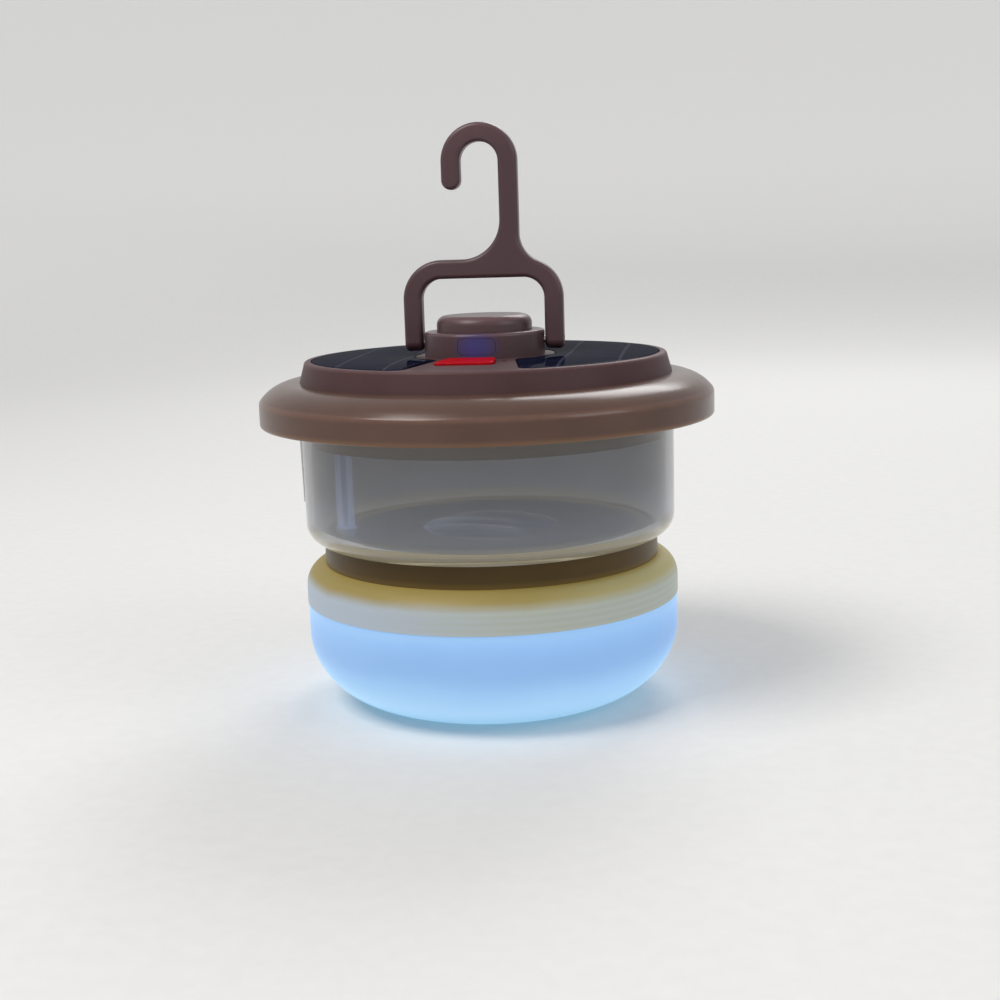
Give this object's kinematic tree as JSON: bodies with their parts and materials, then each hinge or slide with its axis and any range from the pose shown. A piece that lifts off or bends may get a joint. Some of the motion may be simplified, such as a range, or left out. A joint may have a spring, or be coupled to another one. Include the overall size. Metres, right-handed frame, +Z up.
{
  "type": "camping lantern",
  "caption": "Round camping lantern with a solar deck, push button, fold-down hanging hook, wide brim, clear middle shell and a glowing opal dome underneath.",
  "frame": {"origin": "centre of the flat under the opal dome, on the surface the lantern stands on", "axes": "+Z up the lantern's axis, X along the hook's pivot, -Y toward the red plate and status window, +Y toward the charging port"},
  "size_m": [0.1118, 0.1118, 0.1412],
  "materials": {
    "body_plastic": "gloss taupe brown moulding",
    "panel_glass": "blue-black resin over solar cells",
    "red_plastic": "gloss red",
    "blue_window": "tinted translucent",
    "clear_plastic": "clear, faintly smoked",
    "neck_plastic": "gloss amber brown",
    "collar_plastic": "cream translucent",
    "opal_plastic": "opal, lit from inside",
    "seal_rubber": "matte black",
    "cover_rubber": "matte, body colour",
    "screw_steel": "plated",
    "board_green": "solder mask",
    "board_white": "white mask on metal",
    "diode": "phosphor",
    "black_plastic": "matte black",
    "socket_steel": "plated shell",
    "cell_foil": "laminate pouch",
    "pad_foam": "adhesive foam",
    "lead_sleeve": "wire insulation"
  },
  "bodies": {
    "housing": {"dome_diffuser": "opal_plastic", "dome_seal": "seal_rubber", "lamp_collar": "collar_plastic", "led_board": "board_white", "led_chips": "diode", "led_board_screws": "screw_steel", "neck_ring": "neck_plastic", "neck_screws": "screw_steel", "clear_shell": "clear_plastic", "wire_duct": "clear_plastic", "shell_seal": "seal_rubber", "base_plate": "body_plastic", "cover_screws": "screw_steel", "brim": "body_plastic", "deck_seal": "seal_rubber", "deck": "body_plastic", "solar_panel_left": "panel_glass", "solar_panel_right": "panel_glass", "red_plate": "red_plastic", "hub": "body_plastic", "hub_ring_nut": "black_plastic", "status_window": "blue_window", "status_led": "diode", "switch_board": "board_green", "tact_switch": "black_plastic", "hook_pins": "screw_steel", "main_board": "board_green", "board_screws": "screw_steel", "board_chips": "black_plastic", "usb_socket": "socket_steel", "battery_cell": "cell_foil", "battery_pad": "pad_foam", "led_leads": "lead_sleeve", "battery_leads": "lead_sleeve", "panel_leads": "lead_sleeve", "switch_leads": "lead_sleeve"},
    "hook_body": {"hook": "body_plastic"},
    "button_body": {"push_button": "body_plastic", "switch_plunger": "black_plastic"},
    "cover_body": {"port_cover": "cover_rubber"}
  },
  "joints": [
    {"name": "hook_fold", "type": "hinge", "parent": "housing", "child": "hook_body", "pos_m": [0, 0, 0.0888], "axis": [1, 0, 0], "range_deg": [-90, 90]},
    {"name": "button_press", "type": "slide", "parent": "housing", "child": "button_body", "axis": [0, 0, -1], "range_m": [0, 0.0012], "stiffness_N_per_m": 900, "springref_m": -0.0004},
    {"name": "cover_swing", "type": "hinge", "parent": "housing", "child": "cover_body", "pos_m": [-0.00795, 0.05535, 0.0761], "axis": [0, 0, 1], "range_deg": [0, 110]}
  ]
}
